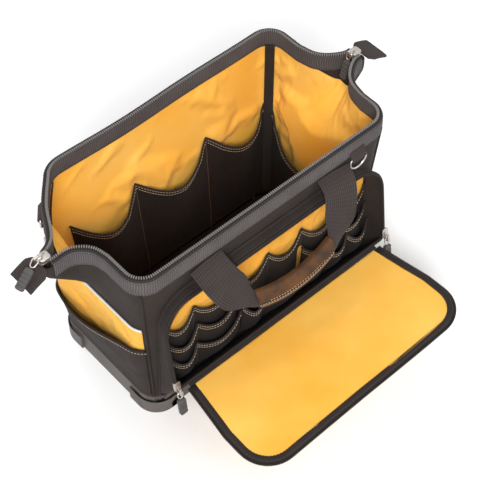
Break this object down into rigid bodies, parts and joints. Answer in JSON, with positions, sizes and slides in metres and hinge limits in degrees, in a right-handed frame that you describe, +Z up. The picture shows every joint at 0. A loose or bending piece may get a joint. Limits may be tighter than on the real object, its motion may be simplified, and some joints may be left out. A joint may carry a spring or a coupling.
{
  "type": "tool bag",
  "caption": "Wide-mouth zippered tool bag with a moulded base, padded handles, lined inside pockets and a front organiser pocket under a drop-down zip flap.",
  "frame": {"origin": "middle of the base's flat underside", "axes": "+X along the bag, -Y the front with the drop-down flap, +Z up"},
  "size_m": [0.5861, 0.4735, 0.3145],
  "materials": {
    "outer_fabric": "woven polyester",
    "accent_fabric": "woven polyester",
    "lining": "thin woven lining",
    "dark_fabric": "woven polyester, dark",
    "tape": "herringbone webbing",
    "webbing": "ribbed webbing",
    "base_plastic": "moulded, fine texture",
    "zip_plastic": "coil teeth",
    "board": "sheet",
    "metal": "nickel plated",
    "rubber": "moulded grip",
    "leather": "stitched",
    "reflective": "reflective tape"
  },
  "bodies": {
    "bag": {"base_tray": "base_plastic", "bottom_board": "board", "front_wall": "outer_fabric", "rear_wall": "outer_fabric", "left_end_wall": "outer_fabric", "right_end_wall": "outer_fabric", "left_end_pocket": "outer_fabric", "right_end_pocket": "outer_fabric", "pocket_gusset": "outer_fabric", "organiser_back": "outer_fabric", "organiser_mid_left": "outer_fabric", "organiser_mid_right": "outer_fabric", "organiser_front_left": "outer_fabric", "organiser_front_middle": "outer_fabric", "organiser_front_right": "outer_fabric", "flap_hinge_strip": "outer_fabric", "front_lining": "lining", "rear_lining": "lining", "left_lining": "lining", "right_lining": "lining", "front_rim_tape": "tape", "rear_rim_tape": "tape", "front_rim_rod": "metal", "rear_rim_rod": "metal", "front_zip_chain": "zip_plastic", "rear_zip_chain": "zip_plastic", "pocket_zip_chain": "zip_plastic", "left_end_accent": "accent_fabric", "right_end_accent": "accent_fabric", "pocket_back_panel": "accent_fabric", "left_reflective_piping": "reflective", "right_reflective_piping": "reflective", "rear_inner_pockets": "dark_fabric", "left_inner_pocket": "dark_fabric", "right_inner_pocket": "dark_fabric", "left_zip_tab": "webbing", "right_zip_tab": "webbing", "front_ring_loop": "webbing", "end_ring_loop": "webbing"},
    "flap": {"flap_panel": "accent_fabric", "flap_binding": "outer_fabric", "flap_zip_chain": "zip_plastic"},
    "front_handle": {"front_handle_strap": "webbing", "front_handle_grip": "leather"},
    "rear_handle": {"rear_handle_strap": "webbing", "rear_handle_grip": "leather"},
    "front_ring": {"front_d_ring": "metal"},
    "end_ring": {"end_d_ring": "metal"},
    "left_zip_runner": {"left_slider": "metal"},
    "left_pull": {"left_pull_link": "metal", "left_pull_grip": "rubber"},
    "left_pocket_runner": {"left_pocket_slider": "metal"},
    "left_pocket_pull": {"left_pocket_pull_link": "metal", "left_pocket_pull_grip": "rubber"},
    "right_zip_runner": {"right_slider": "metal"},
    "right_pull": {"right_pull_link": "metal", "right_pull_grip": "rubber"},
    "right_pocket_runner": {"right_pocket_slider": "metal"},
    "right_pocket_pull": {"right_pocket_pull_link": "metal", "right_pocket_pull_grip": "rubber"}
  },
  "joints": [
    {"name": "flap_hinge", "type": "hinge", "parent": "bag", "child": "flap", "pos_m": [0, -0.1444, 0.1065], "axis": [1, 0, 0], "range_deg": [-70, 0]},
    {"name": "front_handle_swing", "type": "hinge", "parent": "bag", "child": "front_handle", "pos_m": [0, -0.1078, 0.2753], "axis": [-1, 0, 0], "range_deg": [0, 90]},
    {"name": "rear_handle_swing", "type": "hinge", "parent": "bag", "child": "rear_handle", "pos_m": [0, 0.1158, 0.2753], "axis": [1, 0, 0], "range_deg": [0, 90]},
    {"name": "front_ring_swing", "type": "hinge", "parent": "bag", "child": "front_ring", "pos_m": [0.144, -0.11205, 0.2753], "axis": [-1, 0, 0], "range_deg": [0, 165]},
    {"name": "end_ring_swing", "type": "hinge", "parent": "bag", "child": "end_ring", "pos_m": [-0.20254, 0.0768, 0.2753], "axis": [0.6198, 0.7848, 0], "range_deg": [0, 165]},
    {"name": "left_slider_slide", "type": "slide", "parent": "bag", "child": "left_zip_runner", "axis": [1, 0, 0], "range_m": [0, 0.012]},
    {"name": "right_slider_slide", "type": "slide", "parent": "bag", "child": "right_zip_runner", "axis": [-1, 0, 0], "range_m": [0, 0.012]},
    {"name": "left_pocket_slide", "type": "slide", "parent": "bag", "child": "left_pocket_runner", "axis": [0, 0.1335, 0.991], "range_m": [0, 0.07]},
    {"name": "right_pocket_slide", "type": "slide", "parent": "bag", "child": "right_pocket_runner", "axis": [0, 0.1335, 0.991], "range_m": [0, 0.07]},
    {"name": "left_pull_swing", "type": "hinge", "parent": "left_zip_runner", "child": "left_pull", "pos_m": [-0.2609, 0, 0.3112], "axis": [-0.2955, 0.9553, 0], "range_deg": [0, 140]},
    {"name": "right_pull_swing", "type": "hinge", "parent": "right_zip_runner", "child": "right_pull", "pos_m": [0.2361, 0, 0.3112], "axis": [0, 1, 0], "range_deg": [0, 240]},
    {"name": "left_pocket_pull_swing", "type": "hinge", "parent": "left_pocket_runner", "child": "left_pocket_pull", "pos_m": [-0.1795, -0.1452, 0.11274], "axis": [-1, 0, 0], "range_deg": [0, 170]},
    {"name": "right_pocket_pull_swing", "type": "hinge", "parent": "right_pocket_runner", "child": "right_pocket_pull", "pos_m": [0.1795, -0.1452, 0.11274], "axis": [-1, 0, 0], "range_deg": [0, 170]}
  ]
}
